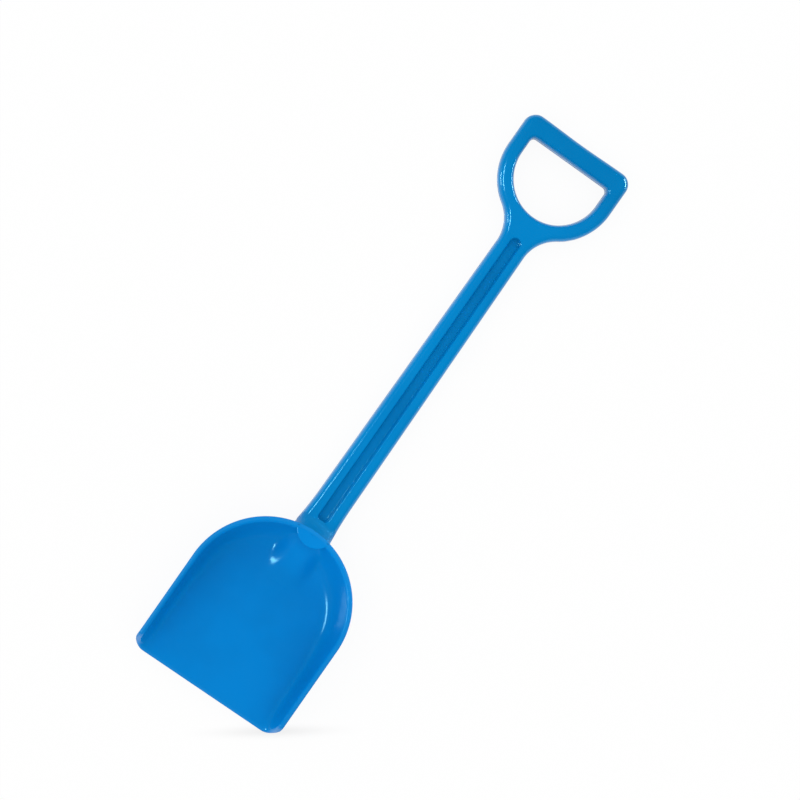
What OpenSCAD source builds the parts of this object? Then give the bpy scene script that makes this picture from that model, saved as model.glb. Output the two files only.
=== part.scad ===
// Child's sand shovel: a scoop blade with a socket, and a handle whose tenon snaps into it.
// The shovel lies on its back. +Y runs from the digging edge to the grip, +Z out of the dish.
// The origin is the bottom centre of the whole shovel.

/* [Overall] */
// Length from the digging edge to the top of the grip
overall_length = 420; // [380:1:480]

/* [Blade] */
// Width over the rim, which is also the diameter of the arched heel
blade_width = 109; // [96:1:124]
// Length from the digging edge to the top of the arch
blade_length = 125; // [112:1:150]
// Height of the rim over the ground
rim_height = 24; // [20:0.5:30]
// Width of the flat land round the rim
rim_land = 3.4; // [2.5:0.1:4.5]
// Height of the floor's upper face at the digging edge
edge_height = 10; // [6:0.5:14]
// Corner radius of the digging edge
edge_corner_radius = 9.4; // [5:0.1:14]
// Length over which the rim comes down to the digging edge
rim_fall_length = 12.5; // [11:0.1:24]
// Wall of the dish
blade_wall = 2.5; // [2:0.1:3]
// Wall at the digging edge
edge_wall = 2; // [1.5:0.1:2.5]
// Distance from the rim's outline to the foot of a side wall
side_wall_run = 16.5; // [14:0.5:24]
// Distance from the rim's outline to the foot of the back wall
back_wall_run = 40; // [30:0.5:46]
// Steepness of the walls under the rim, where 1 is a straight slope
wall_steepness = 2.2; // [1.5:0.1:3]
// Radius of the rounded nose that lies level with the rim
nose_radius = 12.8; // [11:0.1:14]
// Distance of the nose's centre behind the top of the arch
nose_setback = 2.2; // [0:0.1:4]

/* [Socket] */
// Width of the socket at its mouth
socket_width = 25; // [23.5:0.5:28]
// Width of the socket's rounded end
socket_end_width = 21; // [20.5:0.5:24]
// Height of the socket, which shows as the hump in the dish
socket_height = 15.5; // [15:0.1:17]
// Length of the socket, from its mouth to its rounded end
socket_length = 38; // [34:0.5:42]
// Length of the socket's full height, before it falls to the floor
socket_full_length = 23.5; // [22:0.5:27]
// Wall of the socket on the back
socket_wall = 2.2; // [2:0.1:2.4]
// Radius that rounds the socket's upper edges
socket_round = 6; // [4:0.5:7]

/* [Shaft] */
// Thickness of the shaft and the grip
handle_thickness = 15; // [14:0.5:15]
// Rounding of the handle's long edges
handle_round = 4; // [3:0.1:4.5]
// Width of the shaft under the grip
shaft_top_width = 20.5; // [18:0.1:22]
// Width of the shaft above its flared foot
shaft_low_width = 23.5; // [20:0.1:24]
// Radius of the flare at the foot
foot_flare_radius = 250; // [160:5:400]
// Length of the flare at the foot
foot_flare_length = 25; // [15:1:30]
// Width of the groove in the shaft's face
groove_width = 7.4; // [5:0.1:8]
// Depth of the groove
groove_depth = 4.6; // [3:0.1:5]
// Distance from the shaft's foot to the lower end of the groove
groove_foot_gap = 7.5; // [5:0.5:12]
// Distance from the top of the grip to the upper end of the groove
groove_top_gap = 72; // [66:0.5:80]

/* [Grip] */
// Width over the grip
grip_width = 78.4; // [70:0.2:90]
// Thickness of the arms beside the hand opening
arm_width = 10.2; // [9.5:0.1:12]
// Width of the hand bar, along the shovel
bar_width = 14.1; // [12:0.1:18]
// Length of the straight sides between the hand bar and the round of the opening
opening_straight = 11.9; // [9:0.1:16]
// Radius of the grip's outer corners
grip_corner_radius = 8.3; // [5:0.1:10]
// Radius in the corners of the hand opening
opening_corner_radius = 3.2; // [2:0.1:5]
// Radius of the hollow between the shaft and the grip
neck_radius = 25.3; // [18:0.1:32]

/* [Snap joint] */
// Width of the tenon
tenon_width = 16.6; // [14:0.1:17]
// Thickness of the tenon
tenon_thickness = 9.4; // [8:0.1:10]
// Length of the tenon
tenon_length = 21; // [17:0.5:21.5]
// Gap between the tenon and the socket on each side
joint_gap = 0.15; // [0.1:0.05:0.3]
// Gap past the end of the tenon
end_gap = 0.5; // [0.3:0.1:1]
// Width of the barb on the tenon's back
barb_width = 8; // [6:0.5:10]
// Length of the barb
barb_length = 6; // [4:0.5:8]
// Height of the barb
barb_height = 1.6; // [1:0.1:1.9]
// Distance from the socket's mouth to the barb's catching face
barb_setback = 9; // [7:0.5:12]
// Gap round the barb in its window
window_gap = 0.3; // [0.2:0.1:0.5]

/* [Hidden] */
plastic = "#0a7cc9";
overrun = 1;

edge_y = -overall_length / 2;
top_y = overall_length / 2;
half_blade = blade_width / 2;
arch_top_y = edge_y + blade_length;
arch_y = arch_top_y - half_blade;

// The socket's mouth lies under the rim, where the arch is as wide as the socket
mouth_y = arch_y + sqrt(pow(half_blade, 2) - pow(socket_width / 2, 2));

// Steps of the dish's grid
arch_steps = 60;
wall_steps = 8;
floor_steps = 2;
side_steps = 5;
fall_steps = 4;
corner_steps = 6;
levels = 2 + wall_steps + floor_steps;
rows = side_steps + fall_steps + corner_steps;

// Curve of the floor towards the digging edge, and growth of the back wall round the arch
floor_curve = 1.6;
back_wall_growth = 6;
// Share of that growth that is even, and not gathered at the back
back_wall_lean_share = 0.36;
// Share of the wall by which a wall's outside lies nearer the outline than its inside
wall_shift_share = 0.72;
wall_shift = wall_shift_share * blade_wall;

function smooth(t) = let (c = min(1, max(0, t))) c * c * (3 - 2 * c);
function mix(a, b, t) = a + (b - a) * t;

function floor_share(y) = min(1, max(0, (arch_y - y) / (arch_y - edge_y)));
function floor_z(y) = mix(blade_wall, edge_height, pow(floor_share(y), floor_curve));
function rim_z(y) = mix(floor_z(y), rim_height, smooth((y - edge_y) / rim_fall_length));
function wall_at(y) = mix(edge_wall, blade_wall, smooth((y - edge_y) / rim_fall_length));

// Distance from the outline to the foot of the wall, at an angle round the arch
function wall_run(angle) =
    let (lean = max(0, sin(angle)))
    mix(side_wall_run, back_wall_run, mix(pow(lean, back_wall_growth), lean, back_wall_lean_share));

// Distance of each grid level from the outline: the land, the wall, then the floor
function level_distance(j, run) =
    j == 0 ? 0 :
    j <= 1 + wall_steps ? mix(rim_land, run, (j - 1) / wall_steps) :
    mix(run, half_blade, (j - 1 - wall_steps) / (floor_steps + 1));

// Share of the wall's height that is left at each grid level
function level_height(j) =
    j == 0 ? 1 :
    j <= 1 + wall_steps ? pow(1 - (j - 1) / wall_steps, wall_steepness) : 0;

// Share of the shift between the dish's inside and outside at each grid level
function level_shift(j) =
    j == 0 ? 0 :
    j <= 1 + wall_steps ? 1 : 1 - (j - 1 - wall_steps) / (floor_steps + 1);

function level_z(y, j) = mix(floor_z(y), rim_z(y), level_height(j));
function shifted(j, run, under) = level_distance(j, run) - under * level_shift(j) * wall_shift;

function arch_point(angle, j, under) =
    let (r = half_blade - shifted(j, wall_run(angle), under),
         y = arch_y + r * sin(angle))
    [r * cos(angle), y, level_z(y, j) - under * wall_at(y)];

// Rows of the straight part, each as its place along Y and its half width
function row_place(k) =
    k <= side_steps ? [mix(arch_y, edge_y + rim_fall_length, k / side_steps), half_blade] :
    k <= side_steps + fall_steps ?
        [mix(edge_y + rim_fall_length, edge_y + edge_corner_radius, (k - side_steps) / fall_steps),
         half_blade] :
        let (angle = 90 * (k - side_steps - fall_steps) / corner_steps)
        [edge_y + edge_corner_radius * (1 - sin(angle)),
         half_blade - edge_corner_radius * (1 - cos(angle))];

function row_point(k, c, under) =
    let (place = row_place(k),
         side = c < levels ? -1 : 1,
         j = c < levels ? c : 2 * levels - c,
         reach = (half_blade - shifted(j, side_wall_run, under)) * place[1] / half_blade)
    c == levels ?
        [0, place[0], floor_z(place[0]) - under * wall_at(place[0])] :
        [side * reach, place[0], level_z(place[0], j) - under * wall_at(place[0])];

function dish_points(under) = concat(
    [for (i = [0:arch_steps], j = [0:levels - 1]) arch_point(180 - 180 * i / arch_steps, j, under)],
    [[0, arch_y, floor_z(arch_y) - under * wall_at(arch_y)]],
    [for (k = [1:rows], c = [0:2 * levels]) row_point(k, c, under)]);

pole = (arch_steps + 1) * levels;
sheet_count = pole + 1 + rows * (2 * levels + 1);

function arch_index(i, j) = j == levels ? pole : i * levels + j;
function row_index(k, c) =
    k > 0 ? pole + 1 + (k - 1) * (2 * levels + 1) + c :
    c <= levels ? arch_index(0, c) : arch_index(arch_steps, 2 * levels - c);

// Two triangles for a cell of the grid, or one where its last two corners are the same point
function cell(a, b, c, d) = c == d ? [[a, b, c]] : [[a, b, c], [a, c, d]];

sheet_faces = [
    for (i = [0:arch_steps - 1], j = [0:levels - 1], face = cell(
            arch_index(i, j), arch_index(i + 1, j), arch_index(i + 1, j + 1), arch_index(i, j + 1)))
        face,
    for (k = [0:rows - 1], c = [0:2 * levels - 1], face = cell(
            row_index(k, c), row_index(k, c + 1), row_index(k + 1, c + 1), row_index(k + 1, c)))
        face];

outline_loop = concat(
    [for (k = [rows:-1:1]) row_index(k, 0)],
    [for (i = [0:arch_steps]) arch_index(i, 0)],
    [for (k = [1:rows]) row_index(k, 2 * levels)],
    [for (c = [2 * levels - 1:-1:1]) row_index(rows, c)]);

function flipped(faces, shift) = [for (f = faces) [f[2] + shift, f[1] + shift, f[0] + shift]];
function band(loop, shift) = [
    for (i = [0:len(loop) - 1])
        let (a = loop[i], b = loop[(i + 1) % len(loop)])
        for (face = [[b, a, a + shift], [b, a + shift, b + shift]]) face];

module dish() {
    polyhedron(
        points = concat(dish_points(0), dish_points(1)),
        faces = concat(sheet_faces, flipped(sheet_faces, sheet_count), band(outline_loop, sheet_count)));
}

// Rounded nose, level with the rim, that closes the dish over the socket's mouth
module nose() {
    intersection() {
        translate([0, arch_top_y + nose_setback, socket_height - socket_round])
            cylinder(r = nose_radius, h = rim_height - socket_height + socket_round, $fn = 96);
        translate([0, arch_y, 0])
            cylinder(r = half_blade - wall_shift, h = rim_height, $fn = 256);
    }
}

// Sleeve round the tenon, with a rounded upper side that shows in the dish as the hump
module socket_body() {
    end_round = socket_end_width / 2;
    hull() {
        for (side = [-1, 1]) {
            translate([side * (socket_width / 2 - socket_round), mouth_y, socket_height - socket_round])
                rotate([90, 0, 0]) cylinder(r = socket_round, h = socket_full_length, $fn = 32);
            translate([side * (socket_width / 2 - handle_round), mouth_y, handle_round])
                rotate([90, 0, 0]) cylinder(r = handle_round, h = socket_full_length, $fn = 32);
        }
        translate([0, mouth_y - socket_length + end_round, 0])
            cylinder(r = end_round, h = blade_wall, $fn = 32);
    }
}

module joint_cavity() {
    cavity_width = tenon_width + 2 * joint_gap;
    cavity_height = tenon_thickness + 2 * joint_gap;
    cavity_length = tenon_length + end_gap;
    translate([-cavity_width / 2, mouth_y - cavity_length, socket_wall])
        cube([cavity_width, cavity_length + overrun, cavity_height]);
}

module barb_window() {
    window_width = barb_width + 2 * window_gap;
    window_length = barb_length + 2 * window_gap;
    translate([-window_width / 2, mouth_y - barb_setback - barb_length - window_gap, -overrun])
        cube([window_width, window_length, socket_wall + 2 * overrun]);
}

module blade() {
    color(plastic)
    difference() {
        union() {
            dish();
            nose();
            socket_body();
        }
        joint_cavity();
        barb_window();
    }
}

half_grip = grip_width / 2;
opening_radius = half_grip - arm_width;
opening_top_y = top_y - bar_width;
grip_y = opening_top_y - opening_straight;
half_neck = shaft_top_width / 2;
neck_x = half_neck + neck_radius;
neck_y = grip_y - sqrt(pow(half_grip + neck_radius, 2) - pow(neck_x, 2));
flare_top_y = mouth_y + foot_flare_length;

flare_steps = 5;
neck_steps = 12;
ring_steps = 18;
corner_arc_steps = 8;
opening_steps = 40;
round_steps = 5;

// A point of an outline is its place and its outward direction
function arc_point(cx, cy, r, angle, out) =
    [cx + r * cos(angle), cy + r * sin(angle), out * cos(angle), out * sin(angle)];

function side_x(y) =
    mix(shaft_low_width, shaft_top_width, (y - flare_top_y) / (neck_y - flare_top_y)) / 2
    + pow(max(0, flare_top_y - y), 2) / (2 * foot_flare_radius);

neck_end_angle = atan2(grip_y - neck_y, -neck_x);
ring_start_angle = atan2(neck_y - grip_y, neck_x);

handle_side = concat(
    [for (i = [0:flare_steps - 1])
        let (y = mix(mouth_y, flare_top_y, i / flare_steps)) [side_x(y), y, 1, 0]],
    [for (i = [0:neck_steps])
        arc_point(neck_x, neck_y, neck_radius, mix(180, neck_end_angle, i / neck_steps), -1)],
    [for (i = [1:ring_steps])
        arc_point(0, grip_y, half_grip, mix(ring_start_angle, 0, i / ring_steps), 1)],
    [for (i = [0:corner_arc_steps])
        arc_point(half_grip - grip_corner_radius, top_y - grip_corner_radius, grip_corner_radius,
                  90 * i / corner_arc_steps, 1)]);

function mirrored(side) =
    [for (i = [len(side) - 1:-1:0]) [-side[i][0], side[i][1], -side[i][2], side[i][3]]];

opening_side = concat(
    [for (i = [0:opening_steps / 2])
        arc_point(0, grip_y, opening_radius, -90 + 180 * i / opening_steps, 1)],
    [for (i = [0:corner_arc_steps])
        arc_point(opening_radius - opening_corner_radius, opening_top_y - opening_corner_radius,
                  opening_corner_radius, 90 * i / corner_arc_steps, 1)]);

// Heights of the handle's rounded edge, each with the distance that the outline draws in there
rounded_levels = concat(
    [for (i = [0:round_steps])
        [handle_round * (1 - cos(90 * i / round_steps)), handle_round * (1 - sin(90 * i / round_steps))]],
    [for (i = [round_steps:-1:0])
        [handle_thickness - handle_round * (1 - cos(90 * i / round_steps)),
         handle_round * (1 - sin(90 * i / round_steps))]]);

opening_levels = concat(
    [[-overrun, handle_round]], rounded_levels, [[handle_thickness + overrun, handle_round]]);

function ring_at(outline, z, draw) = [for (p = outline) [p[0] - draw * p[2], p[1] - draw * p[3], z]];

// Triangles across a ring whose two halves mirror each other
function ring_cap(count, start, turned) = [
    for (i = [0:count / 2 - 2])
        let (a = start + i, b = start + i + 1, c = start + count - 2 - i, d = start + count - 1 - i)
        for (face = [[a, b, c], [a, c, d]]) turned ? [face[2], face[1], face[0]] : face];

// Solid between rings that draw in or out along the outline's own directions
module loft(outline, section, sign) {
    count = len(outline);
    last = (len(section) - 1) * count;
    polyhedron(
        points = [for (s = section) each ring_at(outline, s[0], sign * s[1])],
        faces = concat(
            ring_cap(count, 0, false),
            ring_cap(count, last, true),
            [for (k = [0:len(section) - 2], i = [0:count - 1])
                let (a = k * count + i, b = k * count + (i + 1) % count)
                for (face = [[a, a + count, b], [b, a + count, b + count]]) face]));
}

module groove() {
    low_y = mouth_y + groove_foot_gap + groove_width / 2;
    high_y = top_y - groove_top_gap - groove_width / 2;
    linear_extrude(groove_depth + overrun) {
        translate([-groove_width / 2, low_y]) square([groove_width, high_y - low_y]);
        translate([0, low_y]) circle(d = groove_width, $fn = 48);
        translate([0, high_y]) circle(d = groove_width, $fn = 48);
    }
}

module tenon() {
    translate([-tenon_width / 2, mouth_y - tenon_length, socket_wall + joint_gap])
        cube([tenon_width, tenon_length + overrun, tenon_thickness]);
    barb_y = mouth_y - barb_setback;
    barb_z = socket_wall + joint_gap;
    translate([-barb_width / 2, barb_y, barb_z])
        rotate([90, 0, 90])
        linear_extrude(barb_width)
        polygon([[0, overrun], [0, -barb_height], [-barb_length / 3, -barb_height],
                 [-barb_length, 0], [-barb_length, overrun]]);
}

module handle() {
    color(plastic)
    difference() {
        union() {
            difference() {
                loft(concat(handle_side, mirrored(handle_side)), rounded_levels, 1);
                loft(concat(opening_side, mirrored(opening_side)), opening_levels, -1);
            }
            tenon();
        }
        translate([0, 0, handle_thickness - groove_depth]) groove();
        translate([0, 0, -overrun]) groove();
    }
}

blade();
handle();
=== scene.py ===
"""A child's blue sand shovel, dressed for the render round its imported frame.

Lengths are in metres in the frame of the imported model: the shovel lies on its back, +Y runs from
the digging edge to the grip, +Z out of the dish, and the origin is the bottom centre.
"""

import logging
import math
from dataclasses import dataclass, field
from enum import Enum
from typing import Sequence

import bmesh
import bpy
import numpy as np
from mathutils import Matrix, Vector
from mathutils.geometry import delaunay_2d_cdt
from mathutils.kdtree import KDTree


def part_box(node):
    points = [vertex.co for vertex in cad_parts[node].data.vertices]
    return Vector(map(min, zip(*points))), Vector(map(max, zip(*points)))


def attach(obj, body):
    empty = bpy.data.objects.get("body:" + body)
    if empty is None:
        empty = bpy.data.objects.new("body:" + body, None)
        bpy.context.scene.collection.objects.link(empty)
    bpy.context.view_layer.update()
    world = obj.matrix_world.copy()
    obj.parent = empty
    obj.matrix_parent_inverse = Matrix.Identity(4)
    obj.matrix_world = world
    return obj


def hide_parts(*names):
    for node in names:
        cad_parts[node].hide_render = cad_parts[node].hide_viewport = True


LOG = logging.getLogger("sand_shovel")
MM = 0.001
MERGE_DISTANCE = 0.000002
CDT_TOLERANCE = 0.0001
CDT_INSIDE = 1
CORNER_STEPS = 8
WHITE = (1.0, 1.0, 1.0, 1.0)
NOISE_MIDDLE = 0.5

Points = np.ndarray
Ring = list[bmesh.types.BMVert]

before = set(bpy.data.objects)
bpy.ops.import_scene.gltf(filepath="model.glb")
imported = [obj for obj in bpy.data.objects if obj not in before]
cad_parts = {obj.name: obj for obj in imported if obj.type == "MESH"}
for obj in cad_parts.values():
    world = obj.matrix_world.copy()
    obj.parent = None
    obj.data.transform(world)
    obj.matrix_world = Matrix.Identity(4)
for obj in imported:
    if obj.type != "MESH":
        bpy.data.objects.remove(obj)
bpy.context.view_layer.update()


class Node(Enum):
    """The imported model's two mouldings."""

    BLADE = "blade"
    HANDLE = "handle"

    @property
    def slot(self) -> str:
        """Returns the name of the moulding's material slot."""
        return self.value + "_plastic"


def mix(low: Points | float, high: Points | float, share: Points | float) -> Points | float:
    """Returns the value at a share of the way from low to high."""
    return low + (high - low) * share


def smooth(share: Points | float) -> Points | float:
    """Returns the share eased at both ends and held between 0 and 1."""
    held = np.clip(share, 0.0, 1.0)
    return held * held * (3.0 - 2.0 * held)


def soft_ramp(value: Points | float, softness: float) -> Points | float:
    """Returns the positive part of a value with a rounded start.

    Args:
        value: Distance past the start of the ramp.
        softness: Length over which the start is rounded.

    Returns:
        The rounded positive part.
    """
    return (value + np.sqrt(value * value + softness * softness)) / 2.0


def quarter_turn(levels: int) -> Points:
    """Returns even angles from 0 to a right angle, in radians."""
    return np.radians(np.linspace(0, 90, levels))


def inside(place: Sequence[float], ring: Points) -> bool:
    """Tells whether a place lies inside a closed ring of points.

    Args:
        place: The place in the XY plane.
        ring: Points of the ring.

    Returns:
        True where it lies inside.
    """
    x, y = ring[:, 0], ring[:, 1]
    after_x, after_y = np.roll(x, -1), np.roll(y, -1)
    spans = (y > place[1]) != (after_y > place[1])
    slope = np.where(spans, (after_x - x) / np.where(spans, after_y - y, 1.0), 0.0)
    return bool(np.count_nonzero(spans & (place[0] < x + (place[1] - y) * slope)) % 2)


class Skin:
    """A closed skin that is put together from rings of vertices."""

    def __init__(self) -> None:
        """Starts with an empty mesh."""
        self.build = bmesh.new()

    def loft(self, rings: Sequence[Points], closed: bool = True) -> list[Ring]:
        """Adds rings of vertices, with quads from each ring to the next.

        Args:
            rings: Places round each ring, with the same number in each.
            closed: Whether the last place of each ring joins its first.

        Returns:
            The vertices of each ring.
        """
        made = [[self.build.verts.new(tuple(place)) for place in ring] for ring in rings]
        for first, second in zip(made, made[1:]):
            for i in range(len(first) if closed else len(first) - 1):
                k = (i + 1) % len(first)
                self.build.faces.new((first[i], first[k], second[k], second[i]))
        return made

    def cap(self, ring: Ring) -> None:
        """Closes a flat ring with one face."""
        self.build.faces.new(ring)

    def fold(self, ring: Ring) -> None:
        """Closes a ring whose two halves mirror each other with faces straight across."""
        for i in range(len(ring) // 2 - 1):
            self.build.faces.new((ring[i], ring[i + 1], ring[-2 - i], ring[-1 - i]))

    def fill(self, outer: Ring, holes: list[Ring]) -> None:
        """Fills a flat face that has holes with well-shaped triangles.

        Args:
            outer: Vertices round the face.
            holes: Vertices round each hole.
        """
        loops = [outer, *holes]
        vertices = [vertex for loop in loops for vertex in loop]
        places = [Vector((vertex.co.x, vertex.co.y)) / MM for vertex in vertices]
        edges: list[tuple[int, int]] = []
        for loop in loops:
            first = len(edges)
            edges += [(first + i, first + (i + 1) % len(loop)) for i in range(len(loop))]
        found = delaunay_2d_cdt(places, edges, [], CDT_INSIDE, CDT_TOLERANCE)
        rings = [np.array([tuple(vertex.co.xy / MM) for vertex in loop]) for loop in loops]
        nearest = KDTree(len(vertices))
        for i, place in enumerate(places):
            nearest.insert((place.x, place.y, 0.0), i)
        nearest.balance()
        matched = [vertices[nearest.find((place.x, place.y, 0.0))[1]] for place in found[0]]
        for face in found[2]:
            centre = sum((found[0][i] for i in face), Vector((0.0, 0.0))) / len(face)
            corners = [matched[i] for i in face]
            if len(set(corners)) < len(corners) or any(inside(centre, ring) for ring in rings[1:]):
                continue
            if inside(centre, rings[0]):
                self.build.faces.new(corners)

    def piece(self, name: str) -> bpy.types.Object:
        """Makes a smooth-shaded object with its normals outward.

        Args:
            name: Name of the object and of its mesh.

        Returns:
            The new object, linked to the scene.
        """
        bmesh.ops.remove_doubles(self.build, verts=self.build.verts, dist=MERGE_DISTANCE)
        bmesh.ops.dissolve_degenerate(self.build, edges=self.build.edges, dist=MERGE_DISTANCE)
        bmesh.ops.recalc_face_normals(self.build, faces=self.build.faces)
        for face in self.build.faces:
            face.smooth = True
        mesh = bpy.data.meshes.new(name)
        self.build.to_mesh(mesh)
        self.build.free()
        made = bpy.data.objects.new(name, mesh)
        bpy.context.scene.collection.objects.link(made)
        return made


@dataclass
class Outline:
    """A closed outline of places and outward directions, in the XY plane.

    Args:
        places: Points of the outline, in order.
        outward: Outward direction at each point.
    """

    places: Points
    outward: Points

    def ring(self, draw: Points | float, height: float) -> Points:
        """Returns the outline at a height, drawn in by one distance or by one for each point."""
        drawn = self.places - np.broadcast_to(draw, len(self.places))[:, None] * self.outward
        return np.column_stack([drawn, np.full(len(drawn), height)])

    def mirrored(self) -> "Outline":
        """Completes a right half with its mirror image.

        Returns:
            The whole outline.
        """
        flip = np.array([-1.0, 1.0])
        places = np.vstack([self.places, (self.places * flip)[::-1]])
        outward = np.vstack([self.outward, (self.outward * flip)[::-1]])
        return Outline(places, outward)


def arc(centre: tuple[float, float], radius: float, start: float, end: float, steps: int,
        out: float = 1.0) -> Outline:
    """Makes an arc of an outline.

    Args:
        centre: Centre of the arc.
        radius: Radius of the arc.
        start: Angle of the first point, in degrees from +X.
        end: Angle of the last point.
        steps: Steps along the arc.
        out: 1 where the arc bulges outward, -1 where it is hollow.

    Returns:
        The arc's points and outward directions.
    """
    angles = np.radians(np.linspace(start, end, steps + 1))
    rays = np.column_stack([np.cos(angles), np.sin(angles)])
    return Outline(np.array(centre) + radius * rays, out * rays)


def joined(*parts: Outline) -> Outline:
    """Returns several stretches of outline as one."""
    return Outline(np.vstack([p.places for p in parts]), np.vstack([p.outward for p in parts]))


def rounded_box(low: tuple[float, float], high: tuple[float, float], radius: float) -> Outline:
    """Makes the outline of a rectangle with rounded corners, which mirrors itself about the middle.

    Args:
        low: Corner with the lowest coordinates.
        high: Corner with the highest coordinates.
        radius: Radius of the corners.

    Returns:
        The closed outline.
    """
    x = high[0] - radius
    return joined(
        arc((x, low[1] + radius), radius, -90, 0, CORNER_STEPS),
        arc((x, high[1] - radius), radius, 0, 90, CORNER_STEPS)).mirrored()


def dress(piece: bpy.types.Object, node: Node, material: bpy.types.Material) -> None:
    """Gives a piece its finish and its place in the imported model.

    Args:
        piece: The finished piece.
        node: Moulding that it belongs to.
        material: Finish of the moulding.
    """
    if not piece.data.materials:
        piece.data.materials.append(material)
    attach(piece, "root")
    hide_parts(node.value)
    LOG.info("%s: %d faces on %s", piece.name, len(piece.data.polygons), node.value)


@dataclass
class Blade:
    """The scoop: a dish with a flat-rimmed wall, a hump over its socket and a half-round nose.

    The overall sizes come from the frame's own box of the blade.

    Args:
        low: Lowest corner of the blade's box in the frame.
        high: Highest corner of that box.
        rim_land: Width of the flat land on the rim.
        edge_height: Height of the digging edge.
        edge_corner_radius: Radius of the blade's two front corners.
        rim_fall_length: Length over which the rim falls to the digging edge.
        wall: Thickness of the sheet.
        edge_wall: Its thickness at the digging edge.
        side_wall_run: Distance from the outline to the foot of the wall, along the straight sides.
        shoulder_wall_run: That distance where the sides pass into the arch.
        back_wall_run: That distance at the heel.
        run_change_length: Length over which it changes along the sides.
        wall_steepness: Power of the wall's curve, which is steepest under the rim.
        floor_curve: Power of the floor's rise to the digging edge.
        wall_shift_share: Share of the thickness by which the wall's outside lies further out.
        rim_round_reach: Distance from the outline over which the land rounds off.
        rim_round_drop: Height of that rounding.
        under_round: Radius under the rim.
        inner_round: Radius between the land and the wall.
        edge_taper: Length over which the digging edge is rounded.
        hump_height: Height of the hump's crest.
        hump_half_width: Half the hump's width.
        hump_side_flatness: Power that keeps the crest broad.
        hump_side_power: Power that draws the hump's sides out softly.
        hump_crest_length: Level length of the crest from the mouth.
        hump_fall_length: Length over which the crest falls to the floor.
        hump_fall_flatness: Power of the start of that fall.
        hump_fall_power: Power of its end.
        hump_softness: Height over which the hump fades into the back wall.
        nose_radius: Radius of the nose.
        nose_setback: Distance of its centre outside the rim's outline.
        nose_inset: Distance of its back inside that outline.
        nose_drop: How far its face lies under the rim.
        nose_round: Radius of its edges.
        socket_width: Width of the sleeve at its mouth.
        socket_end_width: Its width at its end.
        socket_height: Its height.
        socket_length: Its length.
        socket_round: Radius of its lower edges.
        socket_sink: How far it stays under the dish's inside.
        socket_lift: How far it stays off the ground.
        window_width: Width of the snap window.
        window_length: Its length.
        window_setback: Its distance from the mouth.
        window_depth: Its depth.
        window_corner: Radius of its corners.
        window_round: Radius of its lip.
        wear_inset: Distances inside the outline between which the rim's wear sets in.
        wear_length: Distances from the digging edge between which its wear ends.
        arch_steps: Steps round the arch.
        row_steps: Rows down each straight side.
        floor_levels: Levels across the floor.
        wall_levels: Levels down the wall.
        land_levels: Levels across the land.
        land_margin: How far those levels reach down the wall.
        land_inset: Width of the land's inner part that they cover.
        round_levels: Levels of the land's rounding.
        nose_steps: Steps round the nose.
        nose_back_steps: Steps along its back.
        nose_levels: Levels of its rounded edge.
        socket_side_levels: Places along each side of the sleeve.
        socket_end_steps: Steps round half its end.
        socket_levels: Levels of its rounded edge.
        socket_roof_levels: Levels across its roof.
        window_levels: Levels of the window's lip.
    """

    low: Vector = field(default_factory=lambda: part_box("blade")[0])
    high: Vector = field(default_factory=lambda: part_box("blade")[1])
    rim_land: float = 3.4 * MM
    edge_height: float = 10.0 * MM
    edge_corner_radius: float = 9.4 * MM
    rim_fall_length: float = 12.5 * MM
    wall: float = 2.5 * MM
    edge_wall: float = 2.0 * MM
    side_wall_run: float = 12.0 * MM
    shoulder_wall_run: float = 16.0 * MM
    back_wall_run: float = 29.0 * MM
    run_change_length: float = 22.0 * MM
    wall_steepness: float = 3.0
    floor_curve: float = 1.6
    wall_shift_share: float = 0.72
    rim_round_reach: float = 2.2 * MM
    rim_round_drop: float = 0.7 * MM
    under_round: float = 0.6 * MM
    inner_round: float = 0.6 * MM
    edge_taper: float = 2.2 * MM
    hump_height: float = 16.5 * MM
    hump_half_width: float = 17.7 * MM
    hump_side_flatness: float = 3.2
    hump_side_power: float = 3.2
    hump_crest_length: float = 4.4 * MM
    hump_fall_length: float = 37.0 * MM
    hump_fall_flatness: float = 1.55
    hump_fall_power: float = 1.5
    hump_softness: float = 2.55 * MM
    nose_radius: float = 12.8 * MM
    nose_setback: float = 2.2 * MM
    nose_inset: float = 0.8 * MM
    nose_drop: float = 0.3 * MM
    nose_round: float = 0.7 * MM
    socket_width: float = 25.0 * MM
    socket_end_width: float = 21.0 * MM
    socket_height: float = 14.6 * MM
    socket_length: float = 38.0 * MM
    socket_round: float = 4.0 * MM
    socket_sink: float = 1.7 * MM
    socket_lift: float = 0.03 * MM
    window_width: float = 8.6 * MM
    window_length: float = 6.6 * MM
    window_setback: float = 8.7 * MM
    window_depth: float = 2.6 * MM
    window_corner: float = 0.5 * MM
    window_round: float = 0.3 * MM
    wear_inset: tuple[float, float] = (2.6 * MM, 1.0 * MM)
    wear_length: tuple[float, float] = (0.3 * MM, 3.0 * MM)
    arch_steps: int = 240
    row_steps: int = 90
    floor_levels: int = 30
    wall_levels: int = 48
    land_levels: int = 14
    land_margin: float = 1.2 * MM
    land_inset: float = 0.8 * MM
    round_levels: int = 13
    nose_steps: int = 96
    nose_back_steps: int = 24
    nose_levels: int = 9
    socket_side_levels: int = 28
    socket_end_steps: int = 16
    socket_levels: int = 8
    socket_roof_levels: int = 17
    window_levels: int = 5

    def __post_init__(self) -> None:
        """Works out the places that follow from the blade's box."""
        self.half = (self.high.x - self.low.x) / 2
        self.rim_height = self.high.z
        self.edge_y = self.low.y
        self.arch_y = self.high.y - self.half
        self.mouth_y = self.arch_y + math.sqrt(self.half**2 - (self.socket_width / 2) ** 2)

    def floor_z(self, y: Points) -> Points:
        """Returns the height of the floor's upper face."""
        share = np.clip((self.arch_y - y) / (self.arch_y - self.edge_y), 0.0, 1.0)
        return mix(self.wall, self.edge_height, share**self.floor_curve)

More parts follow.
